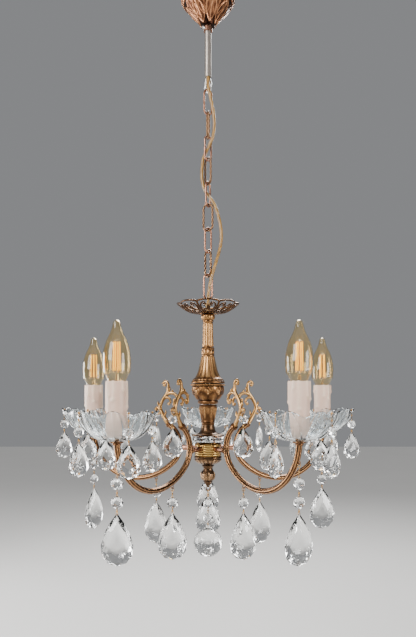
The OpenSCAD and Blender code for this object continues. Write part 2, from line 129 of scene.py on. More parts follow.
def gridShell(points, relief=None, loop=False):
    # skin over a grid of points (around, along): closed around, and closed or fanned at its ends along
    around, along = points.shape[:2]
    index = np.arange(around * along).reshape(around, along)
    here, after = (index, np.roll(index, -1, 1)) if loop else (index[:, :-1], index[:, 1:])
    quads = np.stack([here, after, np.roll(after, -1, 0), np.roll(here, -1, 0)], -1).reshape(-1, 4)
    verts = points.reshape(-1, 3)
    relief = np.full(around * along, 0.5) if relief is None else np.broadcast_to(relief,
        (around, along)).reshape(-1)
    tris = np.zeros((0, 3), int)
    if not loop:
        ends = index[:, [0, -1]]
        verts = np.concatenate([verts, points[:, 0].mean(0)[None], points[:, -1].mean(0)[None]])
        relief = np.concatenate([relief, [relief[0], relief[-1]]])
        centre = around * along + np.arange(2)
        tris = np.concatenate([
            np.stack([ends[:, 0], np.roll(ends[:, 0], -1), np.full(around, centre[0])], 1),
            np.stack([np.roll(ends[:, 1], -1), ends[:, 1], np.full(around, centre[1])], 1)])
    return {"verts": verts, "quads": quads, "tris": tris, "relief": relief}


def turnedShell(outer, inner=None, around=96, relief=None, depth=1.0):
    # turned wall: [radius, height] outline carried round the axis; relief(angle, radius, height), 0 to 1,
    # moves the outer wall along its normal by depth (relief - 0.5); inner is its bore or inside wall
    outer = np.array(outer, float)
    angle = np.linspace(0, 2 * np.pi, around, endpoint=False)[:, None]
    slope = unit(np.gradient(outer, axis=0))
    height = np.full((around, len(outer)), 0.5)
    line = np.broadcast_to(outer, (around, len(outer), 2))
    if relief:
        height = limit(relief(angle, outer[None, :, 0], outer[None, :, 1])) + 0 * height
        line = line + depth * (height[..., None] - 0.5) * np.stack([-slope[:, 1], slope[:, 0]], 1)
    if inner is not None:
        inner = np.array(inner, float)
        line = np.concatenate([line, np.broadcast_to(inner, (around, len(inner), 2))], 1)
        height = np.concatenate([height, np.zeros((around, len(inner)))], 1)
    return gridShell(aroundAxis(line[..., 0], angle, line[..., 1]), height, loop=inner is not None)


def tubeShell(path, wide, thick=None, side=(0, 1, 0), sides=12, loop=False, section=None):
    # section carried along path: path + size(angle, step) (wide cos(angle) u + thick sin(angle) v),
    # where u lies across the path, square to side, and v across both
    path = np.array(path, float)
    run = unit(np.roll(path, -1, 0) - np.roll(path, 1, 0) if loop else np.gradient(path, axis=0))
    u = unit(np.cross(run, np.array(side, float)))
    v = np.cross(run, u)
    angle = np.linspace(0, 2 * np.pi, sides, endpoint=False)[:, None]
    wide = np.broadcast_to(np.array(wide, float), (len(path),))
    thick = wide if thick is None else np.broadcast_to(np.array(thick, float), (len(path),))
    walked = np.concatenate([[0], np.cumsum(np.linalg.norm(np.diff(path, axis=0), axis=1))])
    size = np.ones((sides, len(path))) if section is None else section(angle, walked[None, :])
    points = path + (size * wide * np.cos(angle))[..., None] * u + (size * thick * np.sin(angle))[...,
        None] * v
    low, high = size.min(), size.max()
    relief = (size - low) / (high - low) if high - low > 1e-6 else np.full(size.shape, 0.5)
    return gridShell(points, relief, loop)


def ballShell(centre, radius, squash=1.0, sides=12, rings=8):
    # ball about centre, squashed along its height
    fall = np.linspace(0, np.pi, rings + 1)[None, :, None]
    angle = np.linspace(0, 2 * np.pi, sides, endpoint=False)[:, None, None]
    ball = np.concatenate([np.sin(fall) * np.cos(angle), np.sin(fall) * np.sin(angle),
        squash * np.cos(fall) + 0 * angle], -1)
    return gridShell(np.array(centre, float) + radius * ball)


def ringShell(centre, radius, wire, facing=0, sides=10, steps=28):
    # round wire ring that hangs upright and whose plane is turned by facing from X
    turn = np.linspace(0, 2 * np.pi, steps, endpoint=False)
    across = np.array([np.cos(facing), np.sin(facing), 0])
    path = np.array(centre, float) + radius * (np.cos(turn)[:, None] * across + np.sin(turn)[:, None]
        * [0, 0, 1])
    return tubeShell(path, wire / 2, side=(-np.sin(facing), np.cos(facing), 0), sides=sides, loop=True)


def wireShell(a, b, wire, sides=8):
    # straight wire with rounded ends
    a, b = np.array(a, float), np.array(b, float)
    t = np.concatenate([[0, 0.3], np.linspace(0.6, np.linalg.norm(b - a) / wire - 0.6, 4), [0, 0]]) * wire
    t[-2:] = np.linalg.norm(b - a) - np.array([0.3, 0]) * wire
    radius = wire / 2 * np.array([0.25, 0.85, 1, 1, 1, 1, 0.85, 0.25])
    side = (1, 0, 0) if abs(unit(b - a)[1]) > 0.8 else (0, 1, 0)
    return tubeShell(a + t[:, None] * unit(b - a), radius, side=side, sides=sides)


def placed(shells, turn=0.0, shift=(0, 0, 0), own=0.0):
    # turns shells by own about their own axis, shifts them, and turns them round the column's axis
    moved = []
    for s in shells:
        spin = [np.array([[np.cos(a), np.sin(a), 0], [-np.sin(a), np.cos(a), 0], [0, 0, 1]])
            for a in (own, turn)]
        moved.append({**s, "verts": (s["verts"] @ spin[0] + np.array(shift, float)) @ spin[1]})
    return moved


def makePiece(name, shells, material, replaced=(), body="chandelier", flat=False, sharp=40):
    # writes the shells into one mesh, merges seams, turns the faces outwards, and rides it on its body
    starts = np.cumsum([0] + [len(s["verts"]) for s in shells])
    verts = np.concatenate([s["verts"] for s in shells]) * mm
    quads = np.concatenate([s["quads"] + k for s, k in zip(shells, starts)])
    tris = np.concatenate([s["tris"] + k for s, k in zip(shells, starts)])
    sizes = np.concatenate([np.full(len(quads), 4), np.full(len(tris), 3)])
    corners = np.concatenate([quads.ravel(), tris.ravel()]).astype(np.int32)
    mesh = bpy.data.meshes.new(name)
    mesh.vertices.add(len(verts))
    mesh.vertices.foreach_set("co", verts.astype(np.float32).ravel())
    mesh.loops.add(len(corners))
    mesh.loops.foreach_set("vertex_index", corners)
    mesh.polygons.add(len(sizes))
    mesh.polygons.foreach_set("loop_start", (np.cumsum(sizes) - sizes).astype(np.int32))
    mesh.update(calc_edges=True)
    relief = mesh.attributes.new("relief", "FLOAT", "POINT")
    relief.data.foreach_set("value", np.concatenate([s["relief"] for s in shells]).astype(np.float32))
    work = bmesh.new()
    work.from_mesh(mesh)
    bmesh.ops.remove_doubles(work, verts=work.verts, dist=2e-6)
    bmesh.ops.recalc_face_normals(work, faces=work.faces)
    work.to_mesh(mesh)
    work.free()
    mesh.polygons.foreach_set("use_smooth", np.full(len(mesh.polygons), not flat))
    if not flat:
        mesh.set_sharp_from_angle(angle=np.radians(sharp))
    mesh.materials.append(material)
    piece = bpy.data.objects.new(name, mesh)
    bpy.context.scene.collection.objects.link(piece)
    if body:
        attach(piece, body)
    if replaced:
        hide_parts(*replaced)
    return piece


# finishes
def addNode(tree, kind, values=None, out=0, **settings):
    # one shader node; values are numbers, colours or other nodes' outputs
    added = tree.nodes.new("ShaderNode" + kind)
    for key, value in settings.items():
        setattr(added, key, value)
    for key, value in (values or {}).items():
        if isinstance(value, bpy.types.NodeSocket):
            tree.links.new(value, added.inputs[key])
        else:
            added.inputs[key].default_value = value
    return added.outputs[out]


def mixTones(tree, share, first, second, blend="MIX"):
    return addNode(tree, "Mix", {0: share, 6: first, 7: second}, out=2, data_type="RGBA", blend_type=blend)


def tone(rgb):
    return (*rgb, 1)


def spread(tree, value, low, high):
    # brings a 0 to 1 value into low..high
    return addNode(tree, "MapRange", {"Value": value, "To Min": low, "To Max": high})


def toneRamp(tree, value, stops):
    added = tree.nodes.new("ShaderNodeValToRGB")
    for k, (place, rgb) in enumerate(stops):
        stop = added.color_ramp.elements[k] if k < 2 else added.color_ramp.elements.new(place)
        stop.position, stop.color = place, tone(rgb)
    tree.links.new(value, added.inputs[0])
    return added.outputs[0]


def startFinish(name, **fixed):
    material = bpy.data.materials.new(name)
    material.use_nodes = True
    tree = material.node_tree
    tree.nodes.clear()
    surface = tree.nodes.new("ShaderNodeBsdfPrincipled")
    for key, value in fixed.items():
        surface.inputs[key.replace("_", " ")].default_value = value
    end = tree.nodes.new("ShaderNodeOutputMaterial")
    tree.links.new(surface.outputs[0], end.inputs[0])
    place = addNode(tree, "TexCoord", out=3)
    return material, tree, surface, place


def noise(tree, place, scale, detail=4.0, rough=0.5):
    return addNode(tree, "TexNoise", {"Vector": place, "Scale": scale, "Detail": detail,
        "Roughness": rough})


def drive(tree, surface, **sources):
    for key, source in sources.items():
        tree.links.new(source, surface.inputs[key.replace("_", " ")])


def bumped(tree, height, strength, distance):
    return addNode(tree, "Bump", {"Height": height, "Strength": strength, "Distance": distance * mm})


def metalFinish(name, dark, body, bright, rough, reliefPatinaAndPaintedLight=True, cloud=70, grain=1400, bump=0.35):
    # patina and painted shade sit in the hollows, and worn bright metal with a painted highlight sits on the
    # high places
    material, tree, surface, place = startFinish(name, Metallic=1.0)
    cloud = noise(tree, place, cloud, 5, 0.6)
    grain = noise(tree, place, grain, 3, 0.6)
    if reliefPatinaAndPaintedLight:
        # painted shade and highlight: the relief height, moved by a soft cloud, picks the dark tone in the
        # hollows (patina and painted shade) and the bright tone on the high places (worn metal and painted
        # highlight)
        height = addNode(tree, "Attribute", out=2, attribute_name="relief")
        wearAndPaintedLight = addNode(tree, "Math", {0: height, 1: spread(tree, cloud, -0.35, 0.35)}, operation="ADD")
    else:
        wearAndPaintedLight = addNode(tree, "Math", {0: cloud, 1: 1.0}, operation="MULTIPLY")
    colour = toneRamp(tree, wearAndPaintedLight, [(0.08, dark), (0.9, bright), (0.5, body)])
    speck = toneRamp(tree, grain, [(0.3, (0.72, 0.72, 0.72)), (0.6, (1, 1, 1))])
    colour = mixTones(tree, 0.8, colour, speck, "MULTIPLY")
    drive(tree, surface, Base_Color=colour, Roughness=spread(tree, cloud, rough[1], rough[0]),
        Normal=bumped(tree, grain, bump, 0.12))
    return material


metalLooks = {  # dark, body and bright tone, roughness
    "steel": [(0.42, 0.41, 0.39), (0.6, 0.59, 0.57), (0.76, 0.75, 0.73), (0.16, 0.34),
        {"reliefPatinaAndPaintedLight": False, "grain": 900}],
    "sleeveSteel": [(0.26, 0.225, 0.19), (0.42, 0.37, 0.32), (0.55, 0.49, 0.43), (0.3, 0.5),
        {"reliefPatinaAndPaintedLight": False, "grain": 700}],
    "copperBronze": [(0.02, 0.008, 0.005), (0.15, 0.058, 0.028), (0.5, 0.235, 0.115), (0.26, 0.4),
        {"cloud": 40, "bump": 0.15}],
    "plainCopper": [(0.12, 0.052, 0.032), (0.34, 0.165, 0.105), (0.56, 0.31, 0.21), (0.18, 0.36),
        {"reliefPatinaAndPaintedLight": False, "cloud": 160}],
    "twistedBrass": [(0.04, 0.018, 0.01), (0.24, 0.125, 0.065), (0.6, 0.37, 0.2), (0.22, 0.4), {}],
    "agedBrass": [(0.024, 0.011, 0.006), (0.16, 0.074, 0.03), (0.43, 0.23, 0.09), (0.28, 0.44), {}],
    "armBrass": [(0.026, 0.012, 0.007), (0.16, 0.074, 0.034), (0.42, 0.22, 0.1), (0.18, 0.36), {}],
    "ringBrass": [(0.07, 0.034, 0.01), (0.34, 0.19, 0.05), (0.62, 0.39, 0.13), (0.16, 0.3), {}],
    "darkBronze": [(0.018, 0.01, 0.006), (0.1, 0.054, 0.028), (0.42, 0.25, 0.13), (0.2, 0.38), {}],
    "giltBrass": [(0.05, 0.022, 0.008), (0.28, 0.145, 0.05), (0.62, 0.36, 0.14), (0.22, 0.36), {}],
    "pinBrass": [(0.2, 0.1, 0.035), (0.42, 0.23, 0.08), (0.62, 0.37, 0.15), (0.16, 0.3), {"reliefPatinaAndPaintedLight": False}],
    "capBrass": [(0.26, 0.15, 0.05), (0.5, 0.31, 0.11), (0.7, 0.46, 0.19), (0.2, 0.36), {"reliefPatinaAndPaintedLight": False}]}
metals = {name: metalFinish(name, *look[:4], **look[4]) for name, look in metalLooks.items()}


def glassFinish(name, ior, streaks, tint, clear, rough, wave):
    # clear glass; its faint streaks turn the surface and thin its tint
    material, tree, surface, place = startFinish(name, IOR=ior, Transmission_Weight=1.0, Metallic=0.0)
    streak = noise(tree, place, streaks, 2, 0.4)
    fine = noise(tree, place, streaks * 9, 3, 0.5)
    drive(tree, surface, Base_Color=mixTones(tree, streak, tone(tint), tone(clear)),
        Roughness=spread(tree, fine, 0.0, rough), Normal=bumped(tree, streak, wave, 0.25))
    return material


# refraction, streak scale, tint, clear tone, most roughness and wave of the surface
pressedGlass = glassFinish("pressedGlass", 1.5, 60, (0.86, 0.94, 0.97), (0.97, 0.99, 1), 0.03, 0.1)
cutCrystal = glassFinish("cutCrystal", 1.57, 40, (0.93, 0.95, 0.95), (1, 0.99, 0.97), 0.02, 0.05)
lampGlass = glassFinish("lampGlass", 1.35, 50, (1, 0.84, 0.56), (1, 0.91, 0.7), 0.03, 0.04)


def plasticFinish(name, dark, light, cloud, grain, rough, bump, paintedHollowShade=None, depth=0.0, gloss=0.5):
    material, tree, surface, place = startFinish(name, Subsurface_Weight=depth, Specular_IOR_Level=gloss)
    cloud = noise(tree, place, cloud, 5, 0.6)
    grain = noise(tree, place, grain, 3, 0.6)
    colour = toneRamp(tree, cloud, [(0.3, dark), (0.7, light)])
    # painted shade: the lower places of the relief are mixed towards a darker shade tone (the grooves of the
    # flex's twist, the sleeve wall between the wax runs), so the raised runs read lighter
    if paintedHollowShade:
        height = addNode(tree, "Attribute", out=2, attribute_name="relief")
        colour = mixTones(tree, spread(tree, height, 0.55, 0), colour, tone(paintedHollowShade))
    drive(tree, surface, Base_Color=colour, Roughness=spread(tree, grain, *rough),
        Normal=bumped(tree, grain, bump, 0.1))
    return material


plasticLooks = {  # dark and light tone, cloud and grain scale, roughness, bump
    # candleWax and flexGold carry a painted shade tone for the lower places of their relief
    "candleWax": [(0.76, 0.5, 0.37), (0.84, 0.62, 0.48), 45, 500, (0.38, 0.55), 0.12,
        {"paintedHollowShade": (0.6, 0.35, 0.24), "depth": 0.12}],
    "whitePlastic": [(0.62, 0.6, 0.54), (0.72, 0.7, 0.64), 90, 800, (0.3, 0.5), 0.1, {}],
    "leadPlastic": [(0.55, 0.5, 0.38), (0.66, 0.6, 0.46), 120, 900, (0.3, 0.5), 0.1, {}],
    "flexGold": [(0.25, 0.125, 0.022), (0.38, 0.205, 0.045), 120, 1200, (0.22, 0.36), 0.15,
        {"paintedHollowShade": (0.12, 0.06, 0.018), "gloss": 0.6}]}
plastics = {name: plasticFinish(name, *look[:6], **look[6]) for name, look in plasticLooks.items()}


# phosphor strips: even glow, with a row of brighter grains
filamentGlow, tree, surface, place = startFinish("filamentGlow", Roughness=0.5, Emission_Strength=1.15)
colour = toneRamp(tree, noise(tree, place, 900, 1, 0.4), [(0.35, (1, 0.46, 0.03)), (0.65, (1, 0.6, 0.07))])
drive(tree, surface, Base_Color=colour, Emission_Color=colour)
print("finishes ready")

# soft studio light: pale floor, grey surround and broad panels
studio = {"floorDrop": 1250, "floorSize": 14000, "floorTone": (0.62, 0.61, 0.59),
    "surround": (0.27, 0.275, 0.285), "surroundPower": 0.9, "skyPower": 0.9, "skyWidth": 80, "skyTilt": 18,
    "aim": (0, 0, -560)}
panels = {  # place, size, power
    "keyPanel": ((-1500, -1500, 250), 1300, 76),
    "fillPanel": ((1700, -1100, -400), 900, 36),
    "backPanel": ((300, 1500, 800), 1000, 60),
    "leftPanel": ((-1600, 700, -700), 900, 32),
}
half = studio["floorSize"] * mm / 2
floorMesh = bpy.data.meshes.new("floor")
floorMesh.from_pydata([(x * half, y * half, -studio["floorDrop"] * mm)
    for x, y in ((-1, -1), (1, -1), (1, 1), (-1, 1))], [], [(0, 1, 2, 3)])
floor = bpy.data.objects.new("floor", floorMesh)
bpy.context.scene.collection.objects.link(floor)
floorFinish, tree, surface, place = startFinish("floorPaper", Specular_IOR_Level=0.2)
drive(tree, surface, Base_Color=mixTones(tree, noise(tree, place, 3), tone(studio["floorTone"]),
    tone((0.66, 0.65, 0.63))), Roughness=spread(tree, noise(tree, place, 40), 0.7, 0.9))
floorMesh.materials.append(floorFinish)
world = bpy.data.worlds.new("studio")
world.use_nodes = True
world.node_tree.nodes["Background"].inputs[0].default_value = tone(studio["surround"])
world.node_tree.nodes["Background"].inputs[1].default_value = studio["surroundPower"]
bpy.context.scene.world = world
for name, (spot, size, power) in panels.items():
    lamp = bpy.data.lights.new(name, "AREA")
    lamp.energy, lamp.size = power, size * mm
    panel = bpy.data.objects.new(name, lamp)
    panel.location = [v * mm for v in spot]
    aim = np.array(studio["aim"]) - np.array(spot)
    panel.rotation_euler = (np.arctan2(np.hypot(aim[0], aim[1]), -aim[2]), 0,
        np.arctan2(aim[1], aim[0]) - np.pi / 2)
    bpy.context.scene.collection.objects.link(panel)
skyLamp = bpy.data.lights.new("skyLamp", "SUN")
skyLamp.energy, skyLamp.angle = studio["skyPower"], np.radians(studio["skyWidth"])
sky = bpy.data.objects.new("skyLamp", skyLamp)
sky.rotation_euler = (np.radians(studio["skyTilt"]), 0, 0)
bpy.context.scene.collection.objects.link(sky)
print("studio ready")

# supply flex: twisted pair under a gold sleeve, woven through the chain
flex = {"diameter": 4.4, "twist": 26, "swell": 0.035, "stays": -150, "swings": -178}
flexRoute = [
    [0, -1.5, -143.4], [-0.1, -2.2, -148], [-0.2, -4.2, -153], [0.1, -6.4, -158],
    [0.8, -7.6, -163.6], [1, -7.8, -164.8], [2.4, -7.8, -171], [4.6, -6.8, -180], [6.8, -5.4, -190],
    [8.4, -4.4, -200], [9.2, -3.8, -211], [8.8, -3.6, -222], [7, -3.6, -232], [3.6, -2.4, -240],
    [0, 0, -247], [-3.8, 1.8, -254], [-7, 2.3, -262], [-8.2, 2, -272], [-9, 1.2, -283],
    [-8.4, 0.8, -294], [-6, 1, -304], [-2.6, 0.8, -312], [2.2, -0.4, -319], [7.2, -1.2, -326],
    [11.4, -1.4, -335], [15, -1.4, -346], [17.8, -1.4, -358], [19.4, -1.4, -370],
    [19.4, -1.8, -382], [17.6, -3, -394], [14.8, -5, -405], [11.6, -7.4, -416], [8.4, -9.6, -427],
    [5.4, -11, -438], [3, -11.4, -449], [1.4, -11.2, -459], [0.4, -10.4, -468], [0, -9, -476.4],
    [0, -7.8, -485]]


def twistedSection(angle, walked):
    # two rounded lobes that turn once in each twist
    return 1 + flex["swell"] * np.cos(2 * angle - 4 * np.pi * walked / flex["twist"])


flexPath = evenLine(smoothLine(flexRoute, 10), 520)
flexPiece = makePiece("supplyFlex", [tubeShell(flexPath, flex["diameter"] / 2, sides=20,
    section=twistedSection)], plastics["flexGold"], ["flex_top", "supply_flex"], body=None)
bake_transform(flexPiece)


# chased patterns, as heights from 0 to 1
def lobes(angle, count, shift=0.0):
    # rounded ribs side by side, with a sharp line between them
    across = 2 * np.abs((angle * count / (2 * np.pi) + shift) % 1 - 0.5)
    return np.sqrt(limit(1 - across ** 2))


def leaves(angle, share, count, shift=0.0):
    # pointed leaves side by side, foot at share 0 and tip at 1, each with a midrib and slanting veins
    across = 2 * np.abs((angle * count / (2 * np.pi) + shift) % 1 - 0.5)
    width = limit(1 - limit(share) ** 2.4)
    blade = limit((width - across) * 4) * ((share > 0) & (share < 1))
    veins = 0.16 * np.cos(share * 26 - across * 10)
    return blade * (0.62 + 0.38 * hump(across, 0.14) + veins)


def between(z, low, high, soft=0.8):
    # 1 between two heights, with soft edges
    return limit((z - low) / soft) * limit((high - z) / soft)


def volutes(angle, z, count, middle, apart, size, reach):
    # a pair of spirals in each of count panels, mirrored about the panel's middle
    panel = 2 * np.pi / count
    across = np.abs((angle + panel / 2) % panel - panel / 2) * reach - apart
    far = np.hypot(across, z - middle)
    return np.exp(-(far / size) ** 4) * (0.5 + 0.5
        * np.cos(2 * np.pi * far / (0.62 * size) - np.arctan2(z - middle, across)))


# canopy: pressed bell with rows of overlapping leaves
canopy = {"radius": 41.6, "wall": 1.4, "bore": 6.4, "rim": -0.7, "foot": -69, "depth": 1.5, "around": 280}
canopyLine = outline([[canopy["radius"] - 1, canopy["rim"]], [canopy["radius"], -1.6]],
    bow([canopy["radius"] + 0.5, -4], [canopy["radius"] - 1, -20], [canopy["radius"] - 2.5, -31]),
    bow([canopy["radius"] - 4, -34], [30, -44], [24, -51]), bow([20, -55], [13, -62], [10.2, -69]),
    step=0.6)


def pressedLeaf(angle, z, count, foot, tip, shift, fullness):
    # teardrop leaves in a row, each a raised edge round a hollow blade, with a raised midrib;
    # width along the share of its length: sin(pi share^fullness)
    share = limit((z - foot) / (tip - foot))
    across = 2 * np.abs((angle * count / (2 * np.pi) + shift) % 1 - 0.5)
    width = 0.98 * np.sin(np.pi * share ** fullness) ** 0.75
    inside = width - across
    body = limit(inside * 7)
    edge = hump(inside - 0.17, 0.14)
    rib = hump(across, 0.14) * limit(inside * 3)
    vein = 0.09 * np.cos(share * 22 - across * 7) * limit(inside * 3)
    return body * limit(0.36 + 0.58 * np.maximum(edge, 0.9 * rib) + vein)


def canopyRelief(angle, r, z):
    lower = np.maximum(pressedLeaf(angle, z, 7, -68, -38.6, 0, 0.8),
        0.7 * pressedLeaf(angle, z, 7, -60, -36.5, 0.5, 0.8))
    upper = np.maximum(pressedLeaf(angle, z, 10, -33.4, -7.4, 0, 0.7),
        0.72 * pressedLeaf(angle, z, 10, -33.4, -3.6, 0.5, 1.0))
    beads = lobes(angle, 44) * between(z, -37.4, -33.8)
    rim = between(z, -3.4, 1) * 0.75
    return 0.06 + 0.94 * np.maximum.reduce([lower, upper, beads, rim + 0 * angle])


insideLine = np.array([[max(canopy["bore"], r - canopy["wall"]), min(-1.2, z + canopy["wall"])]
    for r, z in canopyLine[::-4]])
insideLine[-1] = [canopy["radius"] - 2.6, canopy["rim"]]
insideLine = np.concatenate([[[canopy["bore"], canopy["foot"]]], insideLine])
makePiece("canopyBell", [turnedShell(canopyLine, insideLine, canopy["around"], canopyRelief,
    canopy["depth"])], metals["copperBronze"], ["canopy"], body="canopy")

# twisted links: square wire, twisted, bent to a link
chain = {"top": 161.75, "smoothPitch": 32.3, "twistPitch": 35.3, "length": 42.4, "width": 18, "wire": 3.6,
    "twist": 7.5, "turns": [25, -80, 40, -56, 60, -25, 42, -56, 0]}
linkShells = []
for i in (1, 3, 5, 7):
    bendRadius = (chain["width"] - chain["wire"]) / 2
    run = chain["length"] - chain["width"]
    turn = np.linspace(0, np.pi, 30)
    loopLine = np.concatenate([
        np.stack([bendRadius * np.cos(turn), bendRadius * (np.sin(turn) - 1)], 1),
        np.stack([-bendRadius * np.cos(turn), -bendRadius * (np.sin(turn) + 1) - run], 1)])
    loopLine = evenLine(np.concatenate([loopLine, loopLine[:1]]), 150)[:-1]
    loopLine = upright(*loopLine.T)
    around = 2 * (np.pi * bendRadius + run)
    turnsRound = round(around / chain["twist"])

    def squareTwist(angle, walked):
        # a square's outline in polar form, turned along the wire
        quarter = np.pi / 2
        corner = (angle + quarter * turnsRound * walked / around + quarter / 2) % quarter - quarter / 2
        return 0.72 / np.maximum(np.cos(corner), 0.74)

    drop = chain["top"] + (i + 1) // 2 * chain["smoothPitch"] + i // 2 * chain["twistPitch"]
    linkShells += placed([tubeShell(loopLine, chain["wire"] / 2, sides=20, loop=True, section=squareTwist)],
        np.radians(chain["turns"][i]), (0, 0, -drop))
makePiece("twistedChainLinks", linkShells, metals["twistedBrass"], ["twisted_links"],
    body="chain", sharp=50)
print("canopy and links ready")

# top dish: pierced scrollwork between a foot plate and a scalloped rim
dish = {"petals": 8, "rimWire": 1.25, "footRadius": 13, "scallop": 3.0, "rim": 42.6}
dishProfile = np.array([[4.8, -488.9], [12, -488.8], [20, -488.2], [28, -486.6], [34, -483.6],
    [40, -479.3], [45.6, -474.9]])


def onDish(across, radius, petal, lift=0.0):
    # places a point of a petal, given across its middle line and out from the axis, on the dish
    r = np.array(radius, float)
    turn = 2 * np.pi * petal / dish["petals"] + np.array(across, float) / r
    height = np.interp(r, *dishProfile.T) + lift
    return aroundAxis(r, turn, height)


rimTurn = np.linspace(0, 2 * np.pi, 320, endpoint=False)
rimRadius = dish["rim"] + dish["scallop"] * (np.abs(np.cos(dish["petals"] * rimTurn / 2)) ** 0.6 - 0.35)
rimPath = aroundAxis(rimRadius, rimTurn, np.interp(rimRadius, *dishProfile.T) + 0.4)
dishShells = [tubeShell(rimPath, 1.5, dish["rimWire"], side=(0, 0, 1), loop=True)]
footRadius = dish["footRadius"]
plateLine = outline(bow([5, -487.9], [10, -487.7], [footRadius, -487.2]),
    bow([footRadius + 0.8, -487.9], [footRadius, -489], [footRadius - 1, -489.5]), [[5, -489.9]])
dishShells.append(turnedShell(plateLine, [[4.9, -489.9], [4.9, -487.9]], 96,
    lambda angle, r, z: 0.3 + 0.7 * lobes(angle, 16) * (r > 8), 0.7))
bigScroll = smoothLine([[0.9, 12.5], [2.6, 18], [5.2, 24], [8.6, 29.5], [10.6, 34.5], [9.6, 39.2],
    [6, 40.6], [3.6, 38], [4.6, 35], [6.9, 35.4]], 6)
smallScroll = smoothLine([[0.2, 15], [3, 19.6], [4.4, 24.4], [2.8, 27.6], [0.9, 25.8], [1.9, 23.6]], 5)
leafScroll = smoothLine([[0, 27.5], [1.7, 30.6], [1.4, 33.6], [0, 36.4]], 6)
for petal in range(dish["petals"]):
    for side in (-1, 1):
        for line, wire in ((bigScroll, 1.7), (smallScroll, 1.4), (leafScroll, 1.2)):
            taper = np.interp(np.arange(len(line)), [0, len(line) - 1], [1, 0.6])
            dishShells.append(tubeShell(onDish(side * line[:, 0], line[:, 1], petal), wire * taper,
                1.15 * taper, side=(0, 0, 1), sides=10))
        dishShells.append(ballShell(onDish([side * 6.2], [37.4], petal, 0.3)[0], 1.5, 0.8, 10, 6))
    dishShells.append(ballShell(onDish([0], [31.6], petal, 0.4)[0], 1.7, 0.8, 10, 6))
    spoke = np.linspace(12.4, dish["rim"] - 1.0, 24)
    dishShells.append(tubeShell(onDish(0 * spoke, spoke, petal + 0.5),
        np.interp(spoke, [12, 30, 42], [2.1, 1.3, 1.7]), 1.1, side=(0, 0, 1), sides=10))
for shell in dishShells:  # the part of each scroll wire more than 0.3 above the dish's line takes the bright tone (worn metal and painted highlight), the rest the dark tone (patina and painted shade)
    if shell["relief"].std() < 1e-6:
        x, y, z = shell["verts"].T
        shell["relief"] = 0.25 + 0.5 * (z - np.interp(np.hypot(x, y), *dishProfile.T) > 0.3)
makePiece("filigreeDish", dishShells, metals["agedBrass"], ["top_dish"])
print("dish ready")

# column: turned and chased castings, threaded on the hidden tie rod
columnBore = 5.1


def casting(name, node, line, inner, around, relief, depth, look="agedBrass"):
    # one turned piece of the column; without an inside line of its own it is bored for the tie rod
    inner = inner or [[columnBore, line[-1][1]], [columnBore, line[0][1]]]
    makePiece(name, [turnedShell(line, inner, around, relief, depth)], metals[look], [node])


shaftLine = outline([[6, -490.3]], bow([8.6, -491], [11.6, -494.6], [8.6, -498.6]),
    [[7.4, -500], [8.1, -500.6], [8.1, -501.6], [7.2, -502.4]], bow([6.8, -504], [6.9, -524], [8.0, -539]),
    [[9.2, -540.2], [9.6, -541.4], [9, -542.6]], [[9, -549.2], [9.6, -550.2], [9.1, -551.4]],
    bow([9.2, -553], [11.8, -573], [18.2, -583.4]), bow([20, -584.6], [22.2, -585.8], [22.6, -588]),
    [[24.2, -589.4], [24.5, -590.8], [24.2, -592]])


def shaftRelief(angle, r, z):
    knob = between(z, -499, -491.4) * (0.35 + 0.5 * lobes(angle, 10))
    flutes = between(z, -538, -504) * (0.2 + 0.8 * lobes(angle, 12))
    husks = between(z, -549, -543, 0.5) * (0.25 + 0.75 * leaves(angle, (z + 549.4) / 7, 10))
    tongues = between(z, -584.6, -553) * (0.15 + 0.85 * lobes(angle, 12, 0.5)
        * limit(1.25 - 0.4 * lobes(angle, 24)))
    edge = between(z, -589.6, -585.4) * (0.3 + 0.6 * leaves(angle, (-z - 584.8) / 5, 24))
    plain = 0.55 * (1 - between(z, -499, -491.4) - between(z, -538, -504)
        - between(z, -549, -543, 0.5) - between(z, -584.6, -553) - between(z, -589.6, -585.4))
    return knob + flutes + husks + tongues + edge + limit(plain)


casting("columnShaft", "column_shaft", shaftLine, None, 168, shaftRelief, 1.1)

cupLine = outline([[24.2, -592.2]], bow([25.1, -592.8], [25.1, -594.6], [23.6, -595.4]),
    bow([23.2, -598], [23.4, -608], [17.2, -615.6]),
    [[14.6, -618.6], [15.2, -619.8], [14.4, -621], [13, -623]])


def cupRelief(angle, r, z):
    swags = between(z, -617, -596.6) * (0.05 + 0.65 * lobes(angle, 8) * limit(0.4 + np.abs(z + 606) / 8)
        * limit(1.2 - 0.4 * lobes(angle, 16)))
    hearts = volutes(angle, z, 8, -600.6, 3.9, 4.2, 23) * between(z, -606, -596)
    tips = between(z, -611, -601) * 0.9 * leaves(angle, (-z - 600) / 10, 8, 0.5)
    beads = between(z, -596, -593) * (0.3 + 0.6 * lobes(angle, 40))
    foot = between(z, -623, -617.6) * 0.55
    return np.maximum.reduce([swags, 1.0 * hearts, tips + 0 * r, beads + 0 * r, foot + 0 * angle])


casting("columnCup", "column_cup", cupLine, None, 192, cupRelief, 1.9)

stemLine = outline([[12.8, -623.2], [13.6, -624.4], [13.2, -626]],
    bow([13.2, -627], [11.6, -636], [10.2, -646.6]),
    [[10.8, -647.8], [10.8, -649], [9.7, -650.2], [9.7, -652.8]])


def stemRelief(angle, r, z):
    rows = np.maximum(leaves(angle, (-z - 626) / 19, 8), 0.75 * leaves(angle, (-z - 626) / 13, 8, 0.5))
    return np.maximum(0.35 * between(z, -653, -622), between(z, -646, -626.4) * rows)


casting("columnStem", "column_stem", stemLine, None, 144, stemRelief, 1.6)

footLine = outline([[9.6, -653]], bow([9.8, -655], [10.4, -663.4], [15.6, -665.4]),
    [[16.6, -665.2], [17, -666.2]], [[23.6, -666.8], [24.4, -667.4], [24.4, -668.6]])
casting("stemFoot", "stem_foot", footLine, None, 120,
    lambda angle, r, z: 0.5 + 0.4 * (lobes(angle, 36) - 0.5) * between(r, 17.4, 22.6), 0.9, "darkBronze")

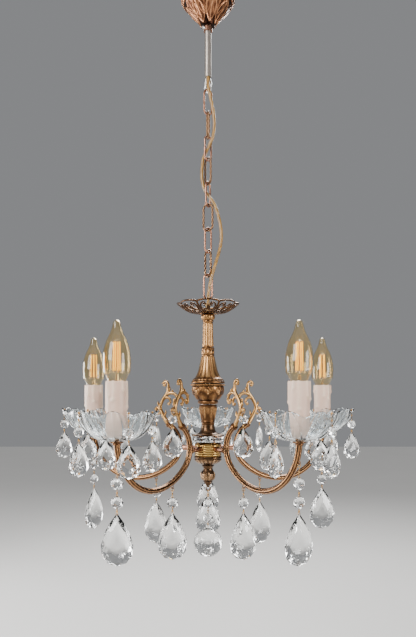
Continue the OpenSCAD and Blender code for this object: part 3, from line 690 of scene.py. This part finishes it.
ringGrooves = {"radius": 19.7, "top": -681.2, "pitch": 3.3, "count": 5, "cut": 0.75}
groove = np.linspace(0, np.pi, 7)[:, None]
grooveRows = np.concatenate([np.hstack([ringGrooves["radius"] - ringGrooves["cut"] * (1 - np.sin(groove)),
    ringGrooves["top"] - ringGrooves["pitch"] * (k + groove / np.pi)])
    for k in range(ringGrooves["count"])])
ringLine = outline([[17.6, -677.8], [18.6, -678.4], [18.6, -680], [19.6, -680.4]], grooveRows,
    [[19.6, -698.4]])
casting("hubRing", "hub_ring", ringLine,
    [[16.4, -698.4], [16.4, -680.6], [columnBore, -680.6], [columnBore, -677.8]], 120,
    lambda angle, r, z: 0.5 + 0.45 * np.clip((r - 19.3) * 2.4, -1, 1), 0.02, "ringBrass")

capLine = outline([[19.6, -698.6], [20.2, -699.4], [20.2, -701.2], [19.6, -702]],
    bow([20, -703], [18.8, -707], [11.8, -709.8]), [[11, -710.6], [9.6, -711.4]])
capInside = bow([8.6, -708.6], [16.2, -706], [17.8, -703], 5).tolist()
casting("hubCap", "hub_cap", capLine, [[5.2, -711.4], [5.2, -709], *capInside, [18, -698.6]], 120,
    lambda angle, r, z: 0.45 + between(z, -709.6, -702.6) * 0.5 * (lobes(angle, 20) - 0.4), 1.2,
    "darkBronze")

finialLine = outline([[4, -711.6], [8.8, -711.6], [9.2, -712.8], [8.4, -714]],
    bow([7, -716.4], [7.2, -719], [8.6, -721]), bow([10.4, -724], [11, -730], [8, -733.8]),
    [[6.8, -734.6], [7.4, -735.6], [6.4, -736.6]], bow([6, -737.4], [4.2, -740], [2, -743.2]),
    [[0.4, -743.6]])


def finialRelief(angle, r, z):
    rows = np.maximum(leaves(angle, (z + 733.4) / 14, 7), 0.75 * leaves(angle, (z + 733.4) / 9.5, 7, 0.5))
    return np.maximum(0.45 * between(z, -745, -711), between(z, -733.6, -719) * rows)


makePiece("finial", [turnedShell(finialLine, None, 112, finialRelief, 1.5),
    ringShell([0, 0, -746.5], 3, 1.6, steps=36)], metals["darkBronze"], ["finial"])
print("column ready")

# arms: reeded tube along the bends, with a boss at the hub, a cup under the pan and two eyes
arm = {"radius": 4.2, "reeds": 8, "cut": 0.13, "bend": 71, "reach": 188, "low": 735, "top": -655,
    "inner": 35.4, "innerZ": -684, "lean": 52, "end": 6, "outerEye": [187.5, 0, -692],
    "midEye": [82, 0, -734.2], "crownEye": [81.5, 0, -629], "eye": (2.2, 1.1)}


def arcLine(x, z, radius, start, end, step=1.6):
    turn = np.radians(np.linspace(start, end, max(3, int(abs(end - start) * np.pi / 180 * radius / step))))
    return upright(x + radius * np.cos(turn), z + radius * np.sin(turn))


lowerRadius = (arm["innerZ"] + arm["low"] - arm["inner"] * np.cos(np.pi / 4)) / (1 - np.cos(np.pi / 4))
innerX = arm["reach"] - arm["bend"] - (lowerRadius - arm["inner"]) * np.sin(np.pi / 4)
armTop = arcLine(innerX, arm["innerZ"], arm["inner"], 180 - arm["lean"], 225)
lean = np.array([np.sin(np.radians(arm["lean"])), 0, np.cos(np.radians(arm["lean"]))])
crownEnd = armTop[0] + arm["end"] * lean
bendX = arm["reach"] - arm["bend"]
armPath = evenLine(np.concatenate([[crownEnd, armTop[0] + 0.5 * arm["end"] * lean], armTop,
    arcLine(bendX, lowerRadius - arm["low"], lowerRadius, 225, 270)[1:],
    arcLine(bendX, arm["bend"] - arm["low"], arm["bend"], -90, 0)[1:], [[arm["reach"], 0, arm["top"]]]]),
    190)


def reeded(angle, walked):
    return 1 - arm["cut"] * (1 - np.abs(np.cos(arm["reeds"] * angle / 2)) ** 0.7) + 0 * walked


def laid(shells, x, z):
    # turns pieces that stand on the axis to lie along X, and moves them out
    return [{**s, "verts": s["verts"][:, [2, 1, 0]] * [1, 1, -1] + [x, 0, z]} for s in shells]


def tipped(shells, place, lean):
    # leans pieces over in the XZ plane, and moves them to place
    c, s = np.cos(lean), np.sin(lean)
    return [{**p, "verts": p["verts"] @ np.array([[c, 0, -s], [0, 1, 0], [s, 0, c]]) + place}
        for p in shells]


collarLine = outline([[3.4, 1.6], [4.6, 1.4], [5.1, 0.6], [4.7, -0.2], [5.3, -1.2], [5.3, -2.2], [4.6, -3],
    [3.4, -3.4]], step=0.5)
bossLine = outline([[3, 3.4], [4.4, 3.2], [5.2, 2.4], [5.6, 1.2], [5.3, 0.2], [4, 0]], step=0.5)
seatCup = outline([[4, -671], [5, -670.8], [5.4, -670], [5.2, -669.2], [6.4, -668.4], [8.4, -668],
    [8.9, -667.4], [8.6, -666.5], [4, -666.4]], step=0.5)
armShells = [tubeShell(armPath, arm["radius"], sides=40, section=reeded)]
armShells += laid([turnedShell(bossLine, None, 40)], 39.4, -687)
armShells += tipped([turnedShell(collarLine, None, 40)], crownEnd, np.radians(arm["lean"]))
armShells += placed([turnedShell(seatCup, None, 48)], shift=(arm["reach"], 0, 0))
armShells += [ringShell(arm[eye], *arm["eye"]) for eye in ("outerEye", "midEye")]
for i, angle in enumerate(armAngles):
    makePiece(f"arm{i + 1}", placed(armShells, angle), metals["armBrass"],
        [f"arm_{i + 1}"])
print("arms ready")

# crown scrolls: cast S-scrolls with curled ends and small leaves, [out, up, width] about the crown's height
crownZ = -615
scrollLines = {"stem": [[63.3, -36.6, 5.6], [66.2, -32, 5.6], [68.8, -28, 5], [72.5, -21, 4.6],
    [75.4, -15, 4.4], [75.2, -10, 4.2], [73.6, -5.6, 4.2], [71.2, -1, 4.2], [68.6, 3, 4.4], [65, 7.4, 4.4],
    [63, 12, 4], [62.6, 17, 3.6], [62.8, 22, 3.4], [65, 25.8, 3.2], [68.4, 26.2, 3], [70.4, 23.4, 2.8],
    [68.6, 21.4, 2.4]],
    "curl": [[67.4, 4.6, 3.6], [61, 8.6, 4], [56, 9, 4], [51.4, 7, 3.8], [48.6, 2.4, 3.6],
    [48, -2.4, 3.4], [50.2, -6, 3], [53.4, -4.6, 2.6], [53.2, -1.6, 2.2]],
    "leaf": [[71.4, -1, 3.4], [65.6, 2.6, 3.4], [60.6, 0.4, 3.2], [59, -4.6, 2.8], [61.6, -7, 2.2]],
    "tip": [[74, -19, 3.6], [77.4, -14.6, 3.4], [81.2, -12.6, 2.8], [82.6, -15, 2.2]]}
scrollLeaves = [  # foot, middle and tip of small leaves, and width
    ([72.6, -21], [79, -20], [80.8, -26], 4.0), ([75.6, -12], [80, -8], [79, -2.4], 3.6),
    ([64, 9], [60, 13], [59.4, 18.4], 3.4), ([69.6, -27], [66, -22], [66.6, -16], 3.4),
    ([56, 9], [55, 12.4], [57.6, 15], 3.0), ([50, 5], [46.6, 6.6], [45, 4], 2.6)]


def scrollRib(angle, walked):
    return 1 - 0.16 * (1 - np.abs(np.cos(1.5 * angle)) ** 0.6) + 0 * walked


scrollShells = []
for line in scrollLines.values():
    s = smoothLine(line, 7)
    path = upright(s[:, 0], s[:, 1] + crownZ)
    scrollShells.append(tubeShell(path, s[:, 2] * 0.62, s[:, 2] * 0.5, sides=16, section=scrollRib))
    scrollShells.append(ballShell(path[-1], s[-1, 2] * 1.15, 1, 14, 9))
for foot, middle, tip, width in scrollLeaves:
    s = bow(foot, middle, tip, 12)
    share = np.linspace(0, 1, 13)
    path = upright(s[:, 0], s[:, 1] + crownZ)
    blade = 0.2 + width / 2 * np.sin(np.pi * share ** 0.75)
    scrollShells.append(tubeShell(path, blade * 0.8, blade * 1.15, sides=12))
scrollShells.append(ringShell(arm["crownEye"], *arm["eye"]))
hookEnd = [arm["crownEye"][0], arm["crownEye"][2] - crownZ + arm["eye"][0]]
hook = bow([75.4, -15], [79.5, -15.6], hookEnd, 10)
scrollShells.append(tubeShell(upright(hook[:, 0], hook[:, 1] + crownZ), 0.9, sides=8))
# the scrolls' faces, away from their middle plane, take the bright tone (worn metal and painted highlight) and
# their edges the dark tone (patina and painted shade)
for shell in scrollShells:
    ribs = shell["relief"] if shell["relief"].std() > 0 else 1
    shell["relief"] = 0.35 + 0.5 * limit(np.abs(shell["verts"][:, 1]) / 1.8) * ribs
makePiece("crownScrolls", [p for angle in armAngles for p in placed(scrollShells, angle)],
    metals["giltBrass"], ["arm_scrolls"])
print("scrolls ready")


def boxHeight(node, top):
    # height of a CAD node's top or foot, in millimetres
    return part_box(node)[1 if top else 0].z / mm


# glass pans: pressed dish whose rim rises to eight pointed petals, with cut lines along each petal
pan = {"line": [[6.5, 0], [16, 0.4], [27, 4.4], [36, 12], [43, 21.4], [47.6, 29.4], [50.5, 36]],
    "foot": -666, "petals": 8, "rise": 7.6, "lean": 4.6, "thick": 2.6, "rimThick": 1.7, "cut": 0.9,
    "swell": 2.2, "turns": [9, 62, 18, 40, 45]}


def panShell():
    # profile (radius, height) over share 0..1 from hole to rim; rise = share^4 * petal height at that angle
    line = evenLine(smoothLine(pan["line"], 8), 44)
    share = np.linspace(0, 1, 44)
    slope = unit(np.gradient(line, axis=0))
    angle = np.linspace(0, 2 * np.pi, 256, endpoint=False)[:, None]
    across = 2 * ((angle * pan["petals"] / (2 * np.pi)) % 1) - 1
    petal = 0.55 * (1 - np.abs(across)) ** 0.85 + 0.45 * (0.5 + 0.5 * np.cos(np.pi * across))
    lift = share ** 4 * (petal - 1)
    besideVee = np.abs(across) - 0.9 * np.sqrt(limit(1.12 - share))
    vee = hump(besideVee, 0.07) * (share > 0.3)
    rib = hump(across, 0.06) * limit((share - 0.35) * 4)
    swell = pan["swell"] * np.cos(np.pi * across / 2) ** 0.8 * np.sin(np.pi * limit(share)) ** 1.2
    outerOut = swell - 0.5 * pan["swell"] - pan["cut"] * np.maximum(vee, 0.7 * rib)
    thick = pan["thick"] + (pan["rimThick"] - pan["thick"]) * share
    inner = thick - swell + 0.5 * pan["swell"]

    def wall(out):
        r = line[:, 0] + pan["lean"] * lift + slope[:, 1] * out
        return r, line[:, 1] + pan["rise"] * lift - slope[:, 0] * out

    (ro, zo), (ri, zi) = wall(outerOut), wall(-inner)
    rim = np.stack([0.5 * (ro[:, -1] + ri[:, -1]), 0.5 * (zo[:, -1] + zi[:, -1]) + 0.55], 1)[:, None]
    ring = np.concatenate([np.stack([ro, zo], 2), rim, np.stack([ri, zi], 2)[:, ::-1]], 1)
    return gridShell(aroundAxis(ring[..., 0], angle, ring[..., 1] + pan["foot"]), loop=True)


candleReach = (arm["reach"], 0, 0)
panPiece = panShell()
for i, angle in enumerate(armAngles):
    makePiece(f"glassPan{i + 1}", placed([panPiece], angle, candleReach, np.radians(pan["turns"][i])),
        pressedGlass, [f"glass_pan_{i + 1}"], sharp=50)
print("pans ready")

# candle sleeves: tube with wax runs from an uneven lip
candle = {"radius": 13.4, "wall": 1.0, "depth": 2.4, "top": boxHeight("candle_sleeves", True),
    "foot": boxHeight("candle_sleeves", False), "turns": [20, -65, 130, 80, -20]}
waxRuns = [  # direction in degrees, width and length of a run
    (-35, 2.6, 24), (20, 2.2, 13), (58, 2.8, 34), (110, 2.4, 18), (150, 2.8, 28), (205, 2.2, 12),
    (240, 2.8, 36), (290, 2.4, 20)]
outside, inside, lip = candle["radius"], candle["radius"] - candle["wall"], candle["top"]
candleLine = outline([[inside, lip - 1.6]],
    bow([inside, lip - 0.5], [outside - 0.6, lip + 0.1], [outside, lip - 1.6], 5),
    [[outside, candle["foot"]]], step=0.8)


def waxRelief(angle, r, z):
    # each run is a ridge down to its length, with a drop at its end; the lip is a soft collar
    down = candle["top"] - z
    height = 0.2 + 0.3 * hump(down, 3.0) * (0.8 + 0.2 * np.cos(5 * angle))
    for direction, width, length in waxRuns:
        aside = (np.mod(angle - np.radians(direction) + np.pi, 2 * np.pi) - np.pi) * candle["radius"]
        aside = aside + 0.5 * np.sin(down / 5 + direction)
        run = 0.55 * hump(aside, width) * limit((length - down) / 3)
        bead = 0.78 * np.exp(-(aside / (width * 1.1)) ** 2 - ((down - length + 2.5) / 3.2) ** 2)
        height = np.maximum(height, 0.2 + np.maximum(run, bead))
    return limit(height)


sleeveShell = turnedShell(candleLine, [[inside, candle["foot"]]], 144, waxRelief, candle["depth"])
sleeveShells = [p for angle, turn in zip(armAngles, candle["turns"])
    for p in placed([sleeveShell], angle, candleReach, np.radians(turn) - angle)]
makePiece("candleSleeves", sleeveShells, plastics["candleWax"], ["candle_sleeves"])

# bulbs: clear candle bulb on a brass cap, with four glowing strips round a glass stem
bulb = {"tip": boxHeight("bulb_1", True), "foot": boxHeight("bulb_1", False), "strip": [-581.5, -545.5],
    "stripRadius": 4.4, "stripWire": 1.7, "wall": 0.8}
tip = bulb["tip"]
bulbLine = outline([[0.3, tip - 0.05]], bow([1.4, tip - 0.15], [3.2, tip - 0.6], [4.3, tip - 2.6]),
    bow([4.9, tip - 4.8], [5.7, -528.4], [7.2, -532.4]),
    bow([9.2, -537.2], [16.6, -550], [17.3, -567]), bow([17.4, -569], [17.4, -571], [17.2, -574]),
    bow([16.6, -582.6], [12.6, -588], [10.8, -594.5]), bow([9.4, -602], [8.2, -606], [7.8, -611.6]),
    step=1.2)
insideBulb = np.array([[max(0.2, r - bulb["wall"]), z - 0.8 * (r < 6)] for r, z in bulbLine[::-2]])
insideBulb[-1] = [0.3, tip - 0.9]
glassShell = turnedShell(bulbLine, insideBulb, 64)
thread = np.linspace(0, 1, 60)
screwLine = np.stack([6.5 + 0.35 * np.cos(2 * np.pi * thread * 6), -612.4 - 18 * thread], 1)
capShell = turnedShell(outline([[1, -611.9], [7.6, -611.9], [7.9, -612.6], [6.9, -613.6]], screwLine,
    [[6.2, -631.4], [4, -633.4], [3.6, bulb["foot"] + 0.6]], [[0.5, bulb["foot"]]], step=0.5), None, 48)
glassStemLine = outline([[0.5, -584]], bow([1.6, -584.4], [2, -588], [1.8, -592]),
    bow([1.9, -598], [3, -606], [6.4, -611]), [[0.4, -611.4]], step=1)
stemShell = turnedShell(glassStemLine, None, 32)
stripShells, wireShells = [], []
for k in range(4):
    spin = np.pi / 4 + k * np.pi / 2 + 0.2
    x, y = bulb["stripRadius"] * np.cos(spin), bulb["stripRadius"] * np.sin(spin)
    low, high = bulb["strip"]
    stripShells.append(wireShell([x, y, low], [0.86 * x, 0.86 * y, high], bulb["stripWire"], 10))
    wireShells += [wireShell([x, y, low + 0.6], [0.35 * x, 0.35 * y, -585.5], 0.5),
        wireShell([0.86 * x, 0.86 * y, high - 0.6], [0, 0, high + 3.4], 0.5)]
wireShells.append(wireShell([0, 0, -585], [0, 0, bulb["strip"][1] + 3.8], 0.7))
bulbPieces = {"Cap": ([capShell], metals["capBrass"], "polished_brass"),
    "Stem": ([stemShell], lampGlass, "bulb_glass"), "Strips": (stripShells, filamentGlow, "bulb_glass"),
    "Wires": (wireShells, metals["steel"], "steel")}
for i, angle in enumerate(armAngles):
    body, own = f"bulb_{i + 1}", 0.35 * i - angle
    makePiece(f"bulbGlass{i + 1}", placed([glassShell], angle, candleReach, own), lampGlass,
        [body], body=body)
    for kind, (shells, finish, slot) in bulbPieces.items():
        makePiece(f"bulb{kind}{i + 1}", placed(shells, angle, candleReach, own), finish, body=body)
print("candles and bulbs ready")

# cut glass
hangRadius = 2.4


def cutGem(shape, middle, thick, count, levels, height=0.0):
    # facets between rings: ring k is the outline shape(angle) drawn in to share about middle, at depth
    # of half the thickness, and every other ring is turned by half a facet
    angle = 2 * np.pi * (np.arange(count)[:, None] + 0.5 * (np.arange(len(levels)) % 2)) / count
    share, depth = np.array(levels, float).T
    x, z = shape(angle)
    x, z = middle[0] + (x - middle[0]) * share, middle[1] + (z - middle[1]) * share + height
    front = np.stack([x, -thick / 2 * depth + 0 * x, z], -1)
    back = front * [1, -1, 1]
    points = np.concatenate([back[:, ::-1], front], 1)
    odd = np.concatenate([np.arange(len(levels))[::-1] % 2, np.arange(len(levels)) % 2])
    index = np.arange(count * len(odd)).reshape(count, -1)
    after = np.roll(index, -1, 0)
    tris = []
    for j in range(len(odd) - 1):
        a, a1, b, b1 = index[:, j], after[:, j], index[:, j + 1], after[:, j + 1]
        if odd[j] < odd[j + 1]:
            tris += [np.stack([a, a1, b], 1), np.stack([a1, b1, b], 1)]
        else:
            tris += [np.stack([a, a1, b1], 1), np.stack([a, b1, b], 1)]
    flat = points.reshape(-1, 3)
    ends = [points[:, 0].mean(0), points[:, -1].mean(0)]
    for end, column in enumerate((0, -1)):
        tris.append(np.stack([after[:, column], index[:, column], np.full(count, len(flat) + end)], 1))
    return {"verts": np.concatenate([flat, ends]), "quads": np.zeros((0, 4), int),
        "tris": np.concatenate(tris), "relief": np.full(len(flat) + 2, 0.5)}


def hangRing(height):
    # ring that a strand hangs from
    return ringShell([0, 0, height], hangRadius, 1.0, facing=np.pi / 2)


def pearShape(width, height):
    # pointed at the top, widest two thirds down: x = w/2 sin a |sin a/2| / 0.77, z = -h (1 - cos a) / 2
    return lambda a: (-width / 2 * np.sin(a) * np.abs(np.sin(a / 2)) / 0.77, -height * (1 - np.cos(a)) / 2)


def roundShape(width):
    return lambda a: (-width / 2 * np.sin(a), width / 2 * np.cos(a))


def bigPear(top):
    return cutGem(pearShape(40, 64), [0, -38.4], 13, 14,
        [(1, 0.05), (0.86, 0.42), (0.66, 0.74), (0.42, 0.95), (0.24, 1)], top)


def almond(top):
    return cutGem(pearShape(28, 41), [0, -24.6], 10, 12,
        [(1, 0.06), (0.82, 0.52), (0.56, 0.86), (0.3, 1)], top)


def bead(middle, width):
    return cutGem(roundShape(width), [0, 0], 8, 8, [(1, 0.12), (0.78, 0.66), (0.42, 1)], middle)


def strand(ring, beads, beadWidth, drop, dropTop):
    # crystals and brass of one strand, hung from a ring whose centre is at height ring
    crystals = [bead(middle, beadWidth) for middle in beads] + [drop(dropTop)]
    joints = [(middle + beadWidth / 2, middle - beadWidth / 2) for middle in beads]
    brass = [hangRing(ring)]
    top = ring - hangRadius
    for upper, lower in joints:
        brass += linkWire(top, upper)
        top = lower
    return crystals, brass + linkWire(top, dropTop)


def linkWire(top, foot):
    # pin between two holes: a loop through each, and a bound wire between them
    loopSize = min(1.7, max(1.0, (top - foot + 4) / 5))
    shells = [ringShell([0, 0, foot - 0.4], loopSize, 0.75, facing=np.pi / 2, sides=8, steps=18)]
    shells.append(wireShell([0, 0, top + 1.4], [0, 0, foot + loopSize - 0.6], 0.9))
    if top - foot > 3:
        shells.append(ballShell([0, 0, (top + foot) / 2], 1.15, 1.5, 10, 6))
    return shells


# heights of the centre strand, and of a pan strand's pin, bead and almond
centreStrand = {"ring": -750.25, "beads": (-768.15, -789.15), "beadWidth": 15, "ball": -825.25, "ballWidth": 42}
panStrand = {"head": -631.4, "bead": -654, "beadWidth": 14, "almond": -666, "reach": 46}
facings = {"outer": [22, 0, 57, 10, 4], "mid": [22, 4, -22, 0, 30], "crown": [6, 0, 72, 0, 78],
           "pan": [[34, 0, -24, 42], [0, 35, 5, 45], [40, 10, 62, -30], [0, 30, -20, 50], [-36, 58, 8, 20]]}
strands = {  # reach, and the heights of ring, beads and drop
    "outer": (arm["outerEye"][0], strand(-695.2, (-717.8, -740.4), 16, bigPear, -753.4)),
    "mid": (arm["midEye"][0], strand(-737.4, (-755.8,), 16, bigPear, -768.8)),
    "crown": (arm["crownEye"][0], strand(-632.2, (-642.55,), 13.5, almond, -654.3))}
for i, angle in enumerate(armAngles):
    for kind, (reach, (crystals, brass)) in strands.items():
        node = f"{kind}_drop_{i + 1}"
        own = np.radians(facings[kind][i]) - angle
        makePiece(f"{kind}Crystals{i + 1}", placed(crystals, angle, (reach, 0, 0), own), cutCrystal,
            [node], body=node, flat=True)
        makePiece(f"{kind}Pins{i + 1}", placed(brass, angle, (reach, 0, 0)), metals["pinBrass"],
            body=node)

# centre strand: two beads and a faceted ball
ballLevels = [(np.cos(a), np.sin(a)) for a in np.radians([3, 24, 44, 62, 78])]
ball = cutGem(roundShape(centreStrand["ballWidth"]), [0, 0], centreStrand["ballWidth"], 16, ballLevels,
    centreStrand["ball"])
lug = turnedShell(outline([[0.4, -799.5], [2.2, -799.8], [3.6, -801], [4, -803], [5.4, -805.4],
    [0.4, -806]], step=1), None, 16)
centreBeads = [bead(z, centreStrand["beadWidth"]) for z in centreStrand["beads"]]
makePiece("centreCrystals", centreBeads + [ball, lug], cutCrystal, ["center_drop"],
    body="center_drop", flat=True)
makePiece("centrePins", [hangRing(centreStrand["ring"])] + linkWire(-752.65, -760.65)
    + linkWire(-775.65, -781.65) + linkWire(-796.65, -800.4), metals["pinBrass"],
    body="center_drop")

# pan strands: four under each pan, each on a headed pin through the rim
panCrystals, panPins = [], []
for i, angle in enumerate(armAngles):
    for q in range(4):
        hole = np.radians(pan["turns"][i] + 90 * q)
        spot = np.array(candleReach) + aroundAxis(panStrand["reach"], hole, 0)
        own = np.radians(facings["pan"][i][q]) - angle
        panCrystals += placed([bead(panStrand["bead"], panStrand["beadWidth"]),
            almond(panStrand["almond"])], angle, spot, own)
        panPins += placed([ballShell([0, 0, panStrand["head"]], 1.6, 0.8, 12, 8)]
            + linkWire(-633, -647) + linkWire(-661, panStrand["almond"]), angle, spot, own)
makePiece("panCrystals", panCrystals, cutCrystal, ["pan_drops"], flat=True)
makePiece("panPins", panPins, metals["pinBrass"])

# faceted glass disc above the hub ring
discLine = np.array([[19.5, -668.9], [23, -670.6], [23, -674.4], [20.2, -677.6]])
discTurn = 2 * np.pi * (np.arange(28)[:, None] + 0.5 * (np.arange(4) % 2)) / 28
discWall = aroundAxis(discLine[:, 0], discTurn, discLine[:, 1])
discBore = aroundAxis(5.4, discTurn[:, :2], discLine[[3, 0], 1])
makePiece("glassDisc", [gridShell(np.concatenate([discWall, discBore], 1), loop=True)], cutCrystal,
    ["glass_disc"], flat=True)
print("cut glass ready")

# CAD nodes whose shape already serves keep it and take a finish
kept = {"hanger_hook": metals["steel"], "hanger_sleeve": metals["sleeveSteel"],
    "terminal_block": plastics["whitePlastic"], "supply_lead": plastics["leadPlastic"],
    "canopy_grip": metals["plainCopper"], "grip_screw": metals["steel"],
    "smooth_links": metals["plainCopper"], "top_loop": metals["capBrass"], "tie_rod": metals["steel"],
    "arm_nipples": metals["plainCopper"], "arm_leads": plastics["leadPlastic"],
    "lampholders": plastics["whitePlastic"]}
for node, finish in kept.items():
    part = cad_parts[node]
    part.data.materials.clear()
    part.data.materials.append(finish)
